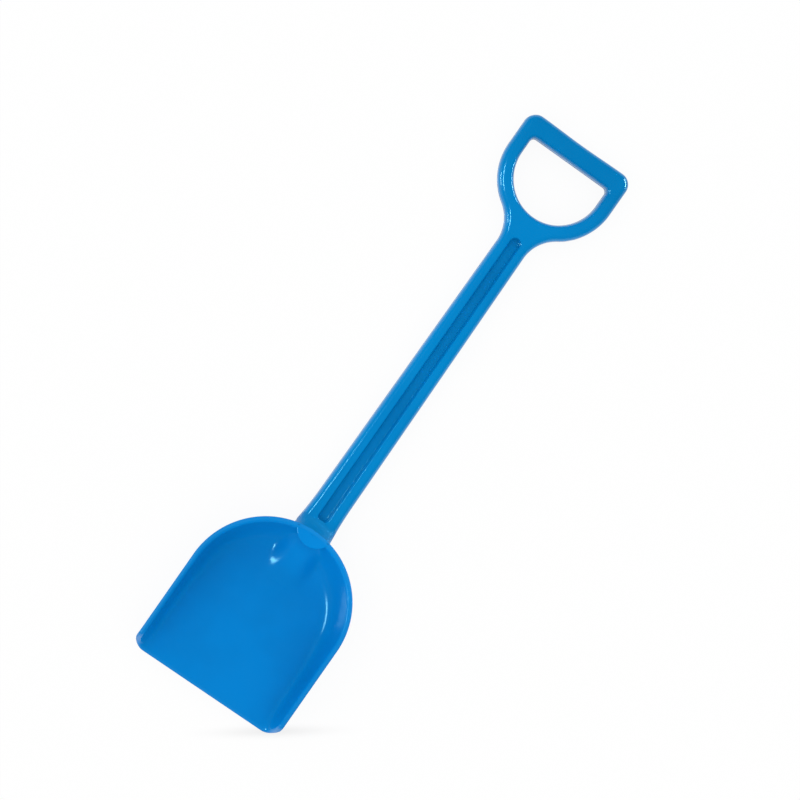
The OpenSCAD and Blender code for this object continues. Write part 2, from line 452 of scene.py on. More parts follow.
    def rim_z(self, y: Points) -> Points:
        """Returns the height of the rim's land."""
        return mix(self.floor_z(y), self.rim_height, smooth((y - self.edge_y) / self.rim_fall_length))

    def wall_at(self, y: Points) -> Points:
        """Returns the thickness of the sheet."""
        return mix(self.edge_wall, self.wall, smooth((y - self.edge_y) / self.rim_fall_length))

    def run_at(self, lean: Points, down: Points | float = 0.0) -> Points:
        """Returns the distance from the outline to the foot of the wall.

        Args:
            lean: Sine of the angle round the arch, 0 at the sides and 1 at the heel.
            down: Distance down the straight sides.

        Returns:
            The run of the wall there.
        """
        side = mix(self.shoulder_wall_run, self.side_wall_run, smooth(down / self.run_change_length))
        return mix(side, self.back_wall_run, np.clip(lean, 0.0, 1.0))

    def wall_height_share(self, distance: Points, run: Points) -> Points:
        """Works out how much of the wall's height is left at a distance from the outline.

        Args:
            distance: Distance in from the outline.
            run: Distance from the outline to the wall's foot.

        Returns:
            The share of the height.
        """
        into = soft_ramp(distance - self.rim_land, self.inner_round)
        left = np.clip(1.0 - into / (run - self.rim_land), 0.0, 1.0)
        return left**self.wall_steepness

    def hump_z(self, x: Points, y: Points, z: Points) -> Points:
        """Returns the height of the dish once the hump over the socket swells through it.

        Args:
            x: Places across the blade.
            y: Places along the blade.
            z: Heights of the dish without the hump.

        Returns:
            The raised heights.
        """
        aside = np.clip(np.abs(x) / self.hump_half_width, 0.0, 1.0)
        across = (1.0 - aside**self.hump_side_flatness) ** self.hump_side_power
        fallen = np.clip((self.mouth_y - self.hump_crest_length - y) / self.hump_fall_length, 0.0, 1.0)
        along = (1.0 - fallen**self.hump_fall_flatness) ** self.hump_fall_power
        over = np.maximum(self.hump_height - z, 0.0)
        return z + over * over / (over + self.hump_softness) * across * along

    def top_z(self, x: Points, y: Points) -> Points:
        """Works out the height of the dish's inside at any place behind the arch's centre.

        Args:
            x: Places across the blade.
            y: Places along the blade.

        Returns:
            The heights.
        """
        away = np.hypot(x, y - self.arch_y)
        run = self.run_at((y - self.arch_y) / np.maximum(away, MM))
        share = self.wall_height_share(self.half - away, run)
        return self.hump_z(x, y, mix(self.floor_z(y), self.rim_z(y), share))

    def level_table(self) -> tuple[Points, Points, Points]:
        """Returns the grid's levels from the centre of the floor to the rim's outline.

        Returns:
            Three shares for each level, of the floor's width, of the wall's run and of the rim
            edge's fixed distances, which add up to the level's distance from the outline.
        """
        floor_levels = np.linspace(1.0, 0.0, self.floor_levels)[:-1]
        wall_levels = np.linspace(1.0, 0.0, self.wall_levels)[:-1]
        edge = self.rim_land + self.land_margin
        near = np.concatenate([
            np.linspace(edge, self.rim_land - self.land_inset, self.land_levels),
            self.rim_round_reach * (1.0 - np.sin(quarter_turn(self.round_levels))),
        ])
        floor_part = np.concatenate([floor_levels, np.zeros(len(wall_levels) + len(near))])
        wall_part = np.concatenate([np.ones(len(floor_levels)), wall_levels, np.zeros(len(near))])
        near_part = np.concatenate([np.full(len(floor_levels) + len(wall_levels), edge), near])
        return floor_part, wall_part, near_part

    def stations(self) -> tuple[Points, Points, Points]:
        """Returns the stations round the outline, from the left end of the digging edge to the right.

        Returns:
            The angle from the heel at each station, the distance down the straight sides, and
            the outline's half width there.
        """
        straight = self.arch_y - self.edge_y
        drop = straight * np.sin(np.radians(np.linspace(90, 0, self.row_steps + 1)))
        turn = np.linspace(-math.pi / 2, math.pi / 2, self.arch_steps + 1)
        angles = np.concatenate([np.full(len(drop) - 1, turn[0]), turn, np.full(len(drop) - 1, turn[-1])])
        down = np.concatenate([drop[:-1], np.zeros(len(turn)), drop[:-1][::-1]])
        into = np.clip(self.edge_corner_radius - (straight - down), 0.0, self.edge_corner_radius)
        width = self.half - self.edge_corner_radius + np.sqrt(self.edge_corner_radius**2 - into**2)
        return angles, down, width

    def sheet(self, under: bool) -> Points:
        """Makes the grid of one face of the dish.

        Args:
            under: Whether this is the outside of the dish and not its inside.

        Returns:
            Places by station and level.
        """
        floor_part, wall_part, near_part = self.level_table()
        angles, down, width = self.stations()
        a, d, w = angles[:, None], down[:, None], width[:, None]
        run = self.run_at(np.cos(a) * (d == 0.0), d)
        edge = near_part.max()
        inner = near_part + wall_part * (run - edge) + floor_part * (self.half - run)
        shift = self.wall_shift_share * self.wall if under else 0.0
        fade = np.where(near_part < edge, smooth(near_part / self.rim_land), 1.0) * (1.0 - floor_part)
        reach = (self.half - inner + shift * fade) * w / self.half
        x = reach * np.sin(a)
        y = self.arch_y + reach * np.cos(a) * (d == 0.0) - d
        floor, rim = self.floor_z(y), self.rim_z(y)
        z = mix(floor, rim, self.wall_height_share(inner, run))
        if under:
            z = z - self.wall_at(y) + self.rounding(inner, self.under_round, self.under_round)
        else:
            share = np.clip(1.0 - inner / self.rim_round_reach, 0.0, 1.0)
            z = self.hump_z(x, y, z) - self.rim_round_drop * share**2
        return np.stack([x, y, z], axis=-1)

    @staticmethod
    def rounding(inner: Points, reach: float, drop: float) -> Points:
        """Returns how far the rim's rounded edge lies below its land.

        Args:
            inner: Distances from the outline.
            reach: Distance over which the edge is rounded.
            drop: Height of the rounding at the outline.

        Returns:
            The distance at each place.
        """
        return drop * (1.0 - np.sqrt(1.0 - np.clip(1.0 - inner / reach, 0.0, 1.0) ** 2))

    def rounded_edge(self, top: Points, bottom: Points) -> None:
        """Draws the two faces together in a slim round at the digging edge, in place.

        Args:
            top: Places of the inside.
            bottom: Places of the outside.
        """
        into = np.clip(1.0 - (top[..., 1] - self.edge_y) / self.edge_taper, 0.0, 1.0)
        opened = np.sqrt(1.0 - into**2)
        middle = (top[..., 2] + bottom[..., 2]) / 2
        half = (top[..., 2] - bottom[..., 2]) / 2 * opened
        top[..., 2], bottom[..., 2] = middle + half, middle - half

    def dish(self) -> bpy.types.Object:
        """Makes the dish, closed at the pole of its arch and along its middle.

        Returns:
            The dish.
        """
        top, bottom = self.sheet(False), self.sheet(True)
        self.rounded_edge(top, bottom)
        skin = Skin()
        skin.loft(np.concatenate([top, bottom[:, ::-1]], axis=1), closed=False)
        return skin.piece("blade_moulding")

    def nose(self) -> bpy.types.Object:
        """Makes the rounded block that lies level with the rim over the socket's mouth.

        Returns:
            The nose.
        """
        back = self.half - self.nose_inset
        away = self.half + self.nose_setback
        lift = (back**2 - self.nose_radius**2 + away**2) / (2 * away)
        side = math.sqrt(back**2 - lift**2)
        low = math.degrees(math.atan2(lift - away, side))
        high = math.degrees(math.atan2(lift, side))
        outline = joined(
            arc((0.0, self.arch_y + away), self.nose_radius, -180 - low, low, self.nose_steps),
            arc((0.0, self.arch_y), back, high, 180 - high, self.nose_back_steps))
        top = self.rim_height - self.nose_drop
        bottom = self.socket_height - self.socket_round
        levels = [(self.nose_round * (1 - math.cos(t)), top - self.nose_round * (1 - math.sin(t)))
                  for t in quarter_turn(self.nose_levels)]
        rings = [outline.ring(self.nose_round, bottom), outline.ring(0.0, bottom + self.nose_round)]
        rings += [outline.ring(draw, height) for draw, height in levels]
        skin = Skin()
        made = skin.loft(rings)
        skin.cap(made[0])
        skin.cap(made[-1])
        return skin.piece("blade_nose")

    def socket(self) -> bpy.types.Object:
        """Makes the sleeve behind the dish that takes the handle's tenon, with its snap window.

        Returns:
            The sleeve.
        """
        end_half = self.socket_end_width / 2
        end_y = self.mouth_y - self.socket_length + end_half
        shares = np.linspace(0.0, 1.0, self.socket_side_levels)[:-1]
        side = np.column_stack([
            mix(self.socket_width / 2, end_half, shares), mix(self.mouth_y, end_y, shares)])
        right = Outline(side, np.tile([1.0, 0.0], (len(side), 1)))
        outline = joined(right, arc((0.0, end_y), end_half, 0, -90, self.socket_end_steps)).mirrored()
        rings = [outline.ring(self.socket_round * (1 - math.sin(t)), self.socket_round * (1 - math.cos(t)))
                 for t in quarter_turn(self.socket_levels)]
        for share in np.linspace(0.0, 1.0, self.socket_roof_levels)[:-1]:
            ring = outline.ring(0.0, self.socket_height)
            ring[:, 0] *= 1.0 - share
            ring[:, 1] = np.where(ring[:, 1] < end_y, mix(ring[:, 1], end_y, share), ring[:, 1])
            rings.append(ring)
        for ring in rings:
            inner_y = np.minimum(ring[:, 1], self.mouth_y - self.rim_land)
            ring[:, 2] = np.minimum(self.top_z(ring[:, 0], inner_y) - self.socket_sink, ring[:, 2])
            ring[:, 2] = np.maximum(ring[:, 2], self.socket_lift)
        skin = Skin()
        made = skin.loft(rings)
        skin.fold(made[-1])
        skin.fill(made[0], [self.window(skin)])
        return skin.piece("blade_socket")

    def window(self, skin: Skin) -> Ring:
        """Adds the blind window that the barb catches in, and returns its mouth.

        Args:
            skin: Skin of the socket.

        Returns:
            The vertices round the window, on the socket's underside.
        """
        high_y = self.mouth_y - self.window_setback
        half = self.window_width / 2
        outline = rounded_box((-half, high_y - self.window_length), (half, high_y), self.window_corner)
        rings = [outline.ring(-self.window_round * (1 - math.sin(t)), self.window_round * (1 - math.cos(t)))
                 for t in quarter_turn(self.window_levels)]
        rings.append(outline.ring(0.0, self.window_depth))
        for ring in rings:
            ring[:, 2] = np.maximum(ring[:, 2], self.socket_lift)
        made = skin.loft(rings)
        skin.cap(made[-1])
        return made[0]

    def wear(self) -> "EdgeWear":
        """Works out where sand has dulled the blade.

        Returns:
            The wear.
        """
        rim = tuple(self.half - inset for inset in self.wear_inset)
        dig = tuple(self.edge_y + length for length in self.wear_length)
        return EdgeWear(self.arch_y, rim, dig)

    def pieces(self, finish: bpy.types.Material) -> list[bpy.types.Object]:
        """Builds and dresses the blade's pieces.

        Args:
            finish: Finish of the whole moulding.

        Returns:
            The dish, the nose and the socket.
        """
        made = [self.dish(), self.nose(), self.socket()]
        for piece in made:
            dress(piece, Node.BLADE, finish)
        return made


@dataclass
class Handle:
    """The shaft with its grooves, the D-grip and the tenon that goes into the blade.

    Args:
        low: Lowest corner of the handle's box in the frame.
        high: Highest corner of that box.
        edge_drop: Depth of the rounded edges, from each face.
        shaft_edge_reach: How far they reach in on the shaft.
        grip_edge_reach: How far they reach in on the grip.
        reach_change_y: Place along the handle where that reach starts to change.
        reach_change_length: Length over which it changes.
        opening_edge_reach: How far the edges reach in round the hand opening.
        shaft_top_width: Width of the shaft at the neck.
        shaft_low_width: Its width at the foot, without the flare.
        foot_flare_radius: Radius of the foot's flare.
        foot_flare_length: Length of the flare.
        groove_width: Width of each groove at its face.
        groove_floor_width: Its width at its floor.
        groove_depth: Its depth.
        groove_lip: Radius of its lip.
        groove_fillet: Radius along its floor.
        groove_foot_gap: Distance from the blade's mouth to the groove.
        groove_top_gap: Distance from the groove to the grip's top.
        groove_lip_turn: Angle that the lip turns through, in degrees.
        groove_foot_turn: Angle at which the floor's fillet starts.
        groove_foot_share: Share of its radius by which that fillet starts further out.
        arm_width: Width of the grip's arms.
        bar_width: Width of the bar that the hand holds.
        bar_waist: How far the bar's outer edge draws in at its middle.
        opening_straight: Straight part of the hand opening's sides.
        grip_corner_radius: Radius of the grip's outer corners.
        opening_corner_radius: Radius of the opening's corners.
        neck_radius: Radius of the hollow between shaft and grip.
        tenon_width: Width of the tenon at the mouth.
        tenon_thickness: Its thickness there.
        tenon_length: Its length.
        tenon_height: Height of its underside.
        tenon_round: Radius of its edges.
        tenon_lead_share: Share of its width that it loses towards its end.
        tenon_drop_share: Share of its thickness that it loses there.
        barb_width: Width of the snap barb.
        barb_length: Its length.
        barb_height: Its height.
        barb_round: Radius of its edges.
        barb_setback: Its distance from the mouth.
        barb_ramp_share: Share of its length that slopes.
        rim_radius: Radius of the blade's rim at the heel.
        mouth_half_width: Half the width of the socket's mouth.
        root_length: Length of the fillet at the shaft's foot.
        root_overlap: How far it reaches in under the blade's rim.
        root_rise: Its height over the shaft's face at the rim.
        root_sink: How far it lies inside the shaft's skin.
        root_curve: Power of its rise.
        root_power: Power that rounds it off towards the sides.
        root_base_part: Part of the thickness at which its hidden base lies.
        root_base_narrowing: Share of the width that the base has.
        mould_line_reach: How far the skin draws in for the mould line's bead.
        mould_line_radius: Radius of the bead.
        pin_mark_radius: Radius of the ejector pins' marks.
        pin_mark_height: Thickness of the marks.
        pin_mark_count: Number of the marks.
        pin_mark_low_gap: Distance from the mouth to the first mark.
        pin_mark_high_gap: Distance from the last mark to the groove's end.
        round_steps: Steps round each rounded edge.
        flat_band: Width of the flat band beside each rounded edge.
        flare_steps: Steps along the flare.
        neck_steps: Steps round the neck's hollow.
        ring_steps: Steps round the grip's ring.
        corner_steps: Steps round each outer corner.
        bar_steps: Places along half the bar.
        opening_corner_steps: Steps round each corner of the opening.
        groove_end_steps: Steps round half of each groove's end.
        groove_lip_levels: Levels of the groove's lip.
        groove_foot_levels: Levels of its fillet.
        root_columns: Places across the fillet.
        root_rows: Rows along the fillet.
    """

    low: Vector = field(default_factory=lambda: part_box("handle")[0])
    high: Vector = field(default_factory=lambda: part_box("handle")[1])
    edge_drop: float = 5.5 * MM
    shaft_edge_reach: float = 4.2 * MM
    grip_edge_reach: float = 4.9 * MM
    reach_change_y: float = 128.0 * MM
    reach_change_length: float = 30.0 * MM
    opening_edge_reach: float = 2.8 * MM
    shaft_top_width: float = 20.5 * MM
    shaft_low_width: float = 23.5 * MM
    foot_flare_radius: float = 250.0 * MM
    foot_flare_length: float = 25.0 * MM
    groove_width: float = 7.4 * MM
    groove_floor_width: float = 5.2 * MM
    groove_depth: float = 4.6 * MM
    groove_lip: float = 0.8 * MM
    groove_fillet: float = 0.9 * MM
    groove_foot_gap: float = 7.5 * MM
    groove_top_gap: float = 72.0 * MM
    groove_lip_turn: float = 80.0
    groove_foot_turn: float = 8.0
    groove_foot_share: float = 0.3
    arm_width: float = 10.2 * MM
    bar_width: float = 14.1 * MM
    bar_waist: float = 0.5 * MM
    opening_straight: float = 11.9 * MM
    grip_corner_radius: float = 8.3 * MM
    opening_corner_radius: float = 3.2 * MM
    neck_radius: float = 25.3 * MM
    tenon_width: float = 16.6 * MM
    tenon_thickness: float = 9.4 * MM
    tenon_length: float = 21.0 * MM
    tenon_height: float = 2.35 * MM
    tenon_round: float = 0.4 * MM
    tenon_lead_share: float = 0.28
    tenon_drop_share: float = 0.5
    barb_width: float = 8.0 * MM
    barb_length: float = 6.0 * MM
    barb_height: float = 1.6 * MM
    barb_round: float = 0.3 * MM
    barb_setback: float = 9.0 * MM
    barb_ramp_share: float = 2 / 3
    rim_radius: float = 54.5 * MM
    mouth_half_width: float = 12.5 * MM
    root_length: float = 7.0 * MM
    root_overlap: float = 3.2 * MM
    root_rise: float = 7.2 * MM
    root_sink: float = 0.05 * MM
    root_curve: float = 2.0
    root_power: int = 12
    root_base_part: float = 1 / 3
    root_base_narrowing: float = 0.8
    mould_line_reach: float = 0.12 * MM
    mould_line_radius: float = 0.12 * MM
    pin_mark_radius: float = 1.6 * MM
    pin_mark_height: float = 0.12 * MM
    pin_mark_count: int = 6
    pin_mark_low_gap: float = 30.0 * MM
    pin_mark_high_gap: float = 15.0 * MM
    round_steps: int = 14
    flat_band: float = 0.4 * MM
    flare_steps: int = 12
    neck_steps: int = 40
    ring_steps: int = 48
    corner_steps: int = 20
    bar_steps: int = 16
    opening_corner_steps: int = 14
    groove_end_steps: int = 16
    groove_lip_levels: int = 6
    groove_foot_levels: int = 7
    root_columns: int = 65
    root_rows: int = 33

    def __post_init__(self) -> None:
        """Works out the places that follow from the handle's box."""
        self.half_grip = (self.high.x - self.low.x) / 2
        self.top_y = self.high.y
        self.thickness = self.high.z
        self.mouth_y = self.low.y + self.tenon_length
        self.opening_radius = self.half_grip - self.arm_width
        self.opening_top_y = self.top_y - self.bar_width
        self.grip_y = self.opening_top_y - self.opening_straight
        self.neck_x = self.shaft_top_width / 2 + self.neck_radius
        self.neck_y = self.grip_y - math.sqrt((self.half_grip + self.neck_radius) ** 2 - self.neck_x**2)

    def side_x(self, y: float) -> float:
        """Works out the shaft's half width at a place along it.

        Args:
            y: Place along the handle.

        Returns:
            The half width.
        """
        flare_top = self.mouth_y + self.foot_flare_length
        share = (y - flare_top) / (self.neck_y - flare_top)
        flare = max(0.0, flare_top - y) ** 2 / (2 * self.foot_flare_radius)
        return mix(self.shaft_low_width, self.shaft_top_width, share) / 2 + flare

    def outline(self) -> Outline:
        """Draws the handle's outline as seen from the front.

        Returns:
            The closed outline.
        """
        flare = [self.mouth_y + self.foot_flare_length * i / self.flare_steps
                 for i in range(self.flare_steps + 1)]
        side = Outline(np.array([(self.side_x(y), y) for y in flare]), np.array([(1.0, 0.0)] * len(flare)))
        ring_start = math.degrees(math.atan2(self.neck_y - self.grip_y, self.neck_x))
        corner = self.half_grip - self.grip_corner_radius
        bar = np.linspace(corner, 0.0, self.bar_steps)[1:]
        waist = self.bar_waist * smooth(1.0 - bar / corner)
        return joined(
            side,
            arc((self.neck_x, self.neck_y), self.neck_radius, 180, ring_start + 180, self.neck_steps, -1.0),
            arc((0.0, self.grip_y), self.half_grip, ring_start, 0, self.ring_steps),
            arc((corner, self.top_y - self.grip_corner_radius), self.grip_corner_radius, 0, 90,
                self.corner_steps),
            Outline(np.column_stack([bar, self.top_y - waist]), np.array([(0.0, 1.0)] * len(bar))),
        ).mirrored()

    def opening(self) -> Outline:
        """Draws the outline of the hand opening.

        Returns:
            The closed outline.
        """
        corner = self.opening_radius - self.opening_corner_radius
        return joined(
            arc((0.0, self.grip_y), self.opening_radius, -90, 0, self.ring_steps),
            arc((corner, self.opening_top_y - self.opening_corner_radius), self.opening_corner_radius,
                0, 90, self.opening_corner_steps),
        ).mirrored()

    def groove(self) -> Outline:
        """Draws the outline of the groove in the shaft.

        Returns:
            The closed outline.
        """
        radius = self.groove_width / 2
        low = self.mouth_y + self.groove_foot_gap + radius
        high = self.top_y - self.groove_top_gap - radius
        return joined(
            arc((0.0, low), radius, -90, 0, self.groove_end_steps),
            arc((0.0, high), radius, 0, 90, self.groove_end_steps)).mirrored()

    def groove_levels(self) -> list[tuple[float, float]]:
        """Lists the levels of the groove from its lip to its floor.

        Returns:
            How far each level draws in, and its depth.
        """
        draft = (self.groove_width - self.groove_floor_width) / 2
        lip = [(-self.groove_lip * (1 - math.sin(t)), self.groove_lip * (1 - math.cos(t)))
               for t in np.radians(np.linspace(0, self.groove_lip_turn, self.groove_lip_levels))]
        foot = [(draft + self.groove_fillet * (1 - math.cos(t)) - self.groove_fillet * self.groove_foot_share,
                 self.groove_depth - self.groove_fillet * (1 - math.sin(t)))
                for t in np.radians(np.linspace(self.groove_foot_turn, 90, self.groove_foot_levels))]
        band = [(-self.groove_lip - self.flat_band, 0.0)]
        return band + lip + foot

    def edge_reach(self, outline: Outline) -> Points:
        """Returns how far the rounded edge reaches in from each point of the outline."""
        share = smooth((outline.places[:, 1] - self.reach_change_y) / self.reach_change_length)
        return mix(self.shaft_edge_reach, self.grip_edge_reach, share)

    def edge_levels(self, reach: Points | float) -> list[tuple[Points | float, float]]:
        """Returns the levels of a rounded edge, from the front face to the back.

        Args:
            reach: How far the edge reaches in from the outline.

        Returns:
            How far each level draws in from the outline, and its height.
        """
        half = [(reach + self.flat_band, 0.0)]
        half += [(reach * (1 - math.sin(t)), self.edge_drop * (1 - math.cos(t)))
                 for t in quarter_turn(self.round_steps + 1)]
        levels = [(draw, self.thickness - drop) for draw, drop in half]
        return levels + [(draw, drop) for draw, drop in reversed(half)]

    def body(self) -> bpy.types.Object:
        """Makes the shaft and the grip as one closed skin.

        Returns:
            The main piece of the handle.
        """
        outer, opening, groove = self.outline(), self.opening(), self.groove()
        skin = Skin()
        line = self.mould_line_reach
        outer_levels = self.edge_levels(self.edge_reach(outer))
        hole_levels = self.edge_levels(self.opening_edge_reach)
        outer_rings = skin.loft([outer.ring(draw + line, z) for draw, z in outer_levels])
        hole_rings = skin.loft([opening.ring(-draw, z) for draw, z in hole_levels])
        depths = self.groove_levels()
        front = skin.loft([groove.ring(draw, self.thickness - depth) for draw, depth in depths])
        back = skin.loft([groove.ring(draw, depth) for draw, depth in depths])
        skin.cap(front[-1])
        skin.cap(back[-1])
        skin.fill(outer_rings[0], [hole_rings[0], front[0]])
        skin.fill(outer_rings[-1], [hole_rings[-1], back[0]])
        return skin.piece("handle_moulding")

    def root(self) -> bpy.types.Object:
        """Makes the fillet that brings the shaft's face up to the blade's rim.

        Returns:
            The fillet.
        """
        across = np.linspace(-1.0, 1.0, self.root_columns)
        arch_y = self.mouth_y - math.sqrt(self.rim_radius**2 - self.mouth_half_width**2)
        rows = []
        for along in np.linspace(-self.root_overlap, self.root_length, self.root_rows):
            half = self.side_x(self.mouth_y + along) - self.root_sink
            x = across * half
            y = arch_y + np.sqrt(self.rim_radius**2 - x**2) + along
            into = np.clip((np.abs(x) - half) / self.shaft_edge_reach + 1.0, 0.0, 1.0)
            drop = self.edge_drop * (1.0 - np.sqrt(1.0 - into**2))
            share = 1.0 - max(along, 0.0) / self.root_length
            rise = self.root_rise * share**self.root_curve * (1.0 - across**self.root_power)
            top = np.column_stack([x, y, self.thickness - drop + rise - self.root_sink])
            base = np.full(len(x), self.thickness * self.root_base_part)
            low = np.column_stack([x * self.root_base_narrowing, y, base])
            rows.append(np.vstack([top, low[::-1]]))
        skin = Skin()
        made = skin.loft(rows)
        skin.fold(made[0])
        skin.fold(made[-1])
        return skin.piece("handle_root")

    def tenon(self) -> bpy.types.Object:
        """Makes the tenon that the socket holds, with the barb that shows in its window.

        Returns:
            The tenon.
        """
        half = self.tenon_width / 2
        outline = rounded_box((-half, self.low.y), (half, self.mouth_y + self.tenon_round), self.tenon_round)
        high = self.tenon_height + self.tenon_thickness
        r = self.tenon_round
        levels = [(r, self.tenon_height), (0.0, self.tenon_height + r), (0.0, high - r), (r, high)]
        rings = [outline.ring(draw, z) for draw, z in levels]
        for ring in rings:
            lead = (self.mouth_y - ring[:, 1]) / self.tenon_length
            ring[:, 0] *= 1.0 - self.tenon_lead_share * lead
            above = (ring[:, 2] - self.tenon_height) / self.tenon_thickness
            ring[:, 2] -= self.tenon_thickness * self.tenon_drop_share * lead * above
        skin = Skin()
        made = skin.loft(rings)
        skin.cap(made[0])
        skin.cap(made[-1])
        high_y = self.mouth_y - self.barb_setback
        low_y = high_y - self.barb_length
        barb = rounded_box((-self.barb_width / 2, low_y), (self.barb_width / 2, high_y), self.barb_round)
        rings = [barb.ring(0.0, self.tenon_height + self.barb_round), barb.ring(0.0, self.tenon_height)]
        for draw in (0.0, self.barb_round):
            ring = barb.ring(draw, 0.0)
            ramp = np.clip((ring[:, 1] - low_y) / (self.barb_length * self.barb_ramp_share), 0.0, 1.0)
            ring[:, 2] = self.tenon_height - self.barb_height * ramp + (self.barb_round - draw) * ramp
            rings.append(ring)
        made = skin.loft(rings)
        skin.cap(made[0])
        skin.fold(made[-1])
        return skin.piece("handle_tenon")

    def mould_line(self, material: bpy.types.Material) -> bpy.types.Object:
        """Makes the fine bead where the mould's two halves met, round the edges at mid thickness.

        Args:
            material: Finish of the handle.

        Returns:
            The bead.
        """
        skin = Skin()
        for outline, closed in ((self.outline(), False), (self.opening(), True)):
            ring = outline.ring(self.mould_line_reach if not closed else 0.0, self.thickness / 2)
            made = [skin.build.verts.new(tuple(place)) for place in ring]
            for first, second in zip(made, made[1:]):
                skin.build.edges.new((first, second))
            if closed:
                skin.build.edges.new((made[-1], made[0]))
        path = skin.piece("handle_mould_line")
        return PathBead(self.mould_line_radius).grow(path, material)

    def pin_marks(self, material: bpy.types.Material) -> bpy.types.Object:
        """Makes the row of raised discs that the mould's ejector pins left in the back groove.

        Args:
            material: Finish of the handle.

        Returns:
            The discs.
        """
        low = self.mouth_y + self.pin_mark_low_gap
        high = self.top_y - self.groove_top_gap - self.pin_mark_high_gap
        mesh = bpy.data.meshes.new("handle_pin_marks")
        row = bpy.data.objects.new("handle_pin_marks", mesh)
        bpy.context.scene.collection.objects.link(row)
        marks = DiscRow(
            count=self.pin_mark_count, radius=self.pin_mark_radius, height=self.pin_mark_height,
            start=(0.0, low, self.groove_depth),
            step=(0.0, (high - low) / (self.pin_mark_count - 1), 0.0))
        return marks.grow(row, material)

    def pieces(self, finish: bpy.types.Material, foot: bpy.types.Material) -> list[bpy.types.Object]:
        """Builds and dresses the handle's pieces.

        Args:
            finish: Finish of the moulding.
            foot: Duller finish of the fillet at its foot, in a darker blue that is painted shade.

        Returns:
            The shaft and grip, the fillet, the tenon, the mould line and the pins' marks.
        """
        root = self.root()
        root.data.materials.append(foot)
        made = [self.body(), root, self.tenon(), self.mould_line(finish), self.pin_marks(finish)]
        for piece in made:
            dress(piece, Node.HANDLE, finish)
        return made


Setting = str | int | float | bool | Sequence[float] | bpy.types.Material | None
Feed = "Channel | int | float | bool | Sequence[float]"


class Channel:
    """One output socket of a shader, with the usual operators as Math nodes."""

    def __init__(self, graph: "Graph", socket: bpy.types.NodeSocket | None) -> None:
        """Keeps the socket and the graph that it belongs to."""
        self.graph = graph
        self.socket = socket

    def _math(self, operation: str, first: Feed, second: Feed) -> "Channel":
        """Returns the result of one Math node."""
        return self.graph.node("ShaderNodeMath", {"operation": operation}, {0: first, 1: second})

    def __add__(self, other: Feed) -> "Channel":
        """Returns this value plus another."""
        return self._math("ADD", self, other)

    def __radd__(self, other: Feed) -> "Channel":
        """Returns another value plus this one."""
        return self._math("ADD", other, self)

    def __sub__(self, other: Feed) -> "Channel":
        """Returns this value less another."""
        return self._math("SUBTRACT", self, other)

    def __rsub__(self, other: Feed) -> "Channel":
        """Returns another value less this one."""
        return self._math("SUBTRACT", other, self)

    def __mul__(self, other: Feed) -> "Channel":
        """Returns this value times another."""
        return self._math("MULTIPLY", self, other)

    def __rmul__(self, other: Feed) -> "Channel":
        """Returns another value times this one."""
        return self._math("MULTIPLY", other, self)

    def __pow__(self, power: Feed) -> "Channel":
        """Returns this value to a power."""
        return self._math("POWER", self, power)

    def greater_of(self, other: Feed) -> "Channel":
        """Returns the greater of this value and another."""
        return self._math("MAXIMUM", self, other)

    def eased(self, low: float, high: float, start: float = 0.0, end: float = 1.0) -> "Channel":
        """Returns a smooth step of this value.

        Args:
            low: Value at which the step starts.
            high: Value at which it ends.
            start: Result at the low value.
            end: Result at the high value.

        Returns:
            The stepped value.
        """
        feeds = {"Value": self, "From Min": low, "From Max": high, "To Min": start, "To Max": end}
        return self.graph.node("ShaderNodeMapRange", {"interpolation_type": "SMOOTHSTEP"}, feeds, "Result")


class Graph:
    """Builds the nodes of one material or world."""

    def __init__(self, tree: bpy.types.NodeTree) -> None:
        """Empties the tree and keeps it."""
        self.tree = tree
        tree.nodes.clear()

    def node(self, kind: str, settings: dict[str, Setting] | None = None,
             feeds: dict[str | int, Feed] | None = None, output: str | int = 0) -> Channel:
        """Adds a node.

        Args:
            kind: Type of the node.
            settings: Values of its properties, set first.
            feeds: Values or channels of its inputs.
            output: Name or number of the output to return.

        Returns:
            That output, for use in expressions.
        """
        made = self.tree.nodes.new(kind)
        for name, value in (settings or {}).items():
            setattr(made, name, value)
        for name, feed in (feeds or {}).items():
            if isinstance(feed, Channel):
                self.tree.links.new(feed.socket, made.inputs[name])
            else:
                made.inputs[name].default_value = feed
        return Channel(self, made.outputs[output] if len(made.outputs) else None)

    def noise(self, place: Channel, scale: float, detail: float = 2.0, roughness: float = 0.5) -> Channel:
        """Returns a noise value of around a half."""
        feeds = {"Vector": place, "Scale": scale, "Detail": detail, "Roughness": roughness}
        return self.node("ShaderNodeTexNoise", {}, feeds, "Fac")

    def blend(self, share: Feed, low: Feed, high: Feed) -> Channel:
        """Returns a colour at a share of the way from low to high."""
        settings = {"data_type": "RGBA"}
        return self.node("ShaderNodeMix", settings, {0: share, 6: low, 7: high}, 2)

    def place(self, stretch: tuple[float, float, float] = (1.0, 1.0, 1.0)) -> Channel:
        """Returns the Object coordinates, stretched."""
        coordinates = self.node("ShaderNodeTexCoord", {}, {}, "Object")
        return self.node("ShaderNodeMapping", {}, {"Vector": coordinates, "Scale": stretch})

    def axes(self, place: Channel) -> tuple[Channel, Channel, Channel]:
        """Splits a vector.

        Args:
            place: The vector.

        Returns:
            Its three parts.
        """
        split = self.node("ShaderNodeSeparateXYZ", {}, {"Vector": place})
        outputs = split.socket.node.outputs
        return tuple(Channel(self, outputs[i]) for i in range(3))


